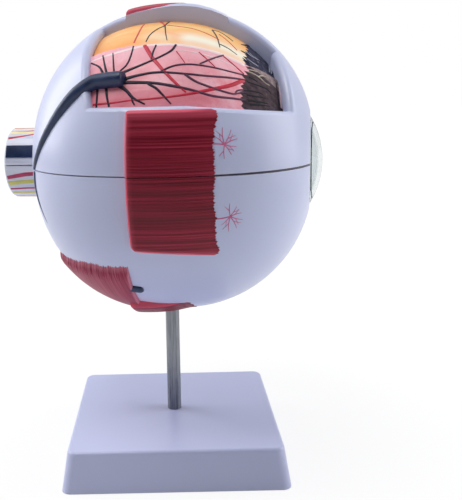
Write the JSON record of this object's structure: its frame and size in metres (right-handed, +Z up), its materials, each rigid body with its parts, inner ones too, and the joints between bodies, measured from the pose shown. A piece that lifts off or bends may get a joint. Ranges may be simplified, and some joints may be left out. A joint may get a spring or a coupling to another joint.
{
  "type": "eye anatomy model",
  "caption": "Take-apart classroom model of a human eye on a rod and square foot: halved globe with a window, optic nerve, muscles, vitreous body, lens and cornea.",
  "frame": {"origin": "centre of the underside of the square foot, on the table, under the rod's axis", "axes": "+Z up along the rod; X and Y along the foot's sides; the eye looks towards +X, turned 9.74 degrees about Z towards -Y"},
  "size_m": [0.1623, 0.1571, 0.2335],
  "materials": {
    "white_plastic": "glossy moulded plastic, lavender white",
    "steel": "satin drawn steel",
    "choroid_pink": "painted plastic, pink with painted vessels",
    "ciliary_brown": "painted plastic, dark brown with grey streaks",
    "retina_orange": "painted plastic, orange with painted vessels, slate at the front",
    "iris_brown": "painted plastic, radial fibres",
    "ciliary_folds": "painted plastic, dark folds",
    "nerve_white": "painted plastic, white with coloured vessels",
    "muscle_red": "painted plastic with fibre ridges",
    "vein_navy": "painted plastic, glossy navy",
    "clear_plastic": "clear acrylic",
    "socket_plastic": "moulded nylon"
  },
  "bodies": {
    "stand": {"base": "white_plastic", "stand_rod": "steel", "rod_washer": "steel", "rod_nut": "steel"},
    "lower_half": {"lower_sclera": "white_plastic", "lower_choroid": "choroid_pink", "lower_ciliary_muscle": "ciliary_brown", "lower_retina": "retina_orange", "seam_pegs": "white_plastic", "lower_iris": "iris_brown", "lower_ciliary_body": "ciliary_folds", "lower_optic_nerve": "nerve_white", "lateral_rectus_lower": "muscle_red", "medial_rectus_lower": "muscle_red", "inferior_rectus": "muscle_red", "inferior_oblique": "muscle_red", "posterior_vein": "vein_navy", "inferior_vortex_vein": "vein_navy", "rod_socket": "socket_plastic"},
    "upper_half": {"upper_sclera": "white_plastic", "upper_choroid": "choroid_pink", "upper_ciliary_muscle": "ciliary_brown", "upper_retina": "retina_orange", "upper_iris": "iris_brown", "upper_ciliary_body": "ciliary_folds", "upper_optic_nerve": "nerve_white", "lateral_rectus_upper": "muscle_red", "medial_rectus_upper": "muscle_red", "superior_rectus": "muscle_red", "superior_oblique": "muscle_red", "superior_vortex_vein": "vein_navy"},
    "vitreous": {"vitreous_rear_shell": "clear_plastic", "vitreous_front_shell": "clear_plastic"},
    "lens": {"lens": "clear_plastic"},
    "cornea": {"cornea": "clear_plastic"}
  },
  "joints": [
    {"name": "globe_swivel", "type": "hinge", "parent": "stand", "child": "lower_half", "pos_m": [0, 0, 0.08], "axis": [0, 0, 1], "continuous": true},
    {"name": "upper_half_lift", "type": "slide", "parent": "lower_half", "child": "upper_half", "axis": [0, 0, 1], "range_m": [0, 0.16]},
    {"name": "vitreous_lift", "type": "slide", "parent": "lower_half", "child": "vitreous", "axis": [0, 0, 1], "range_m": [0, 0.081]},
    {"name": "lens_pull", "type": "slide", "parent": "vitreous", "child": "lens", "axis": [0.9856, -0.1692, 0], "range_m": [0, 0.013]},
    {"name": "cornea_pull", "type": "slide", "parent": "lower_half", "child": "cornea", "axis": [0.9856, -0.1692, 0], "range_m": [0, 0.03]}
  ],
  "couplings": [
    {"joint": "vitreous_lift", "follows": "upper_half_lift", "ratio": 0.5},
    {"joint": "lens_pull", "follows": "upper_half_lift", "ratio": 0.08}
  ]
}
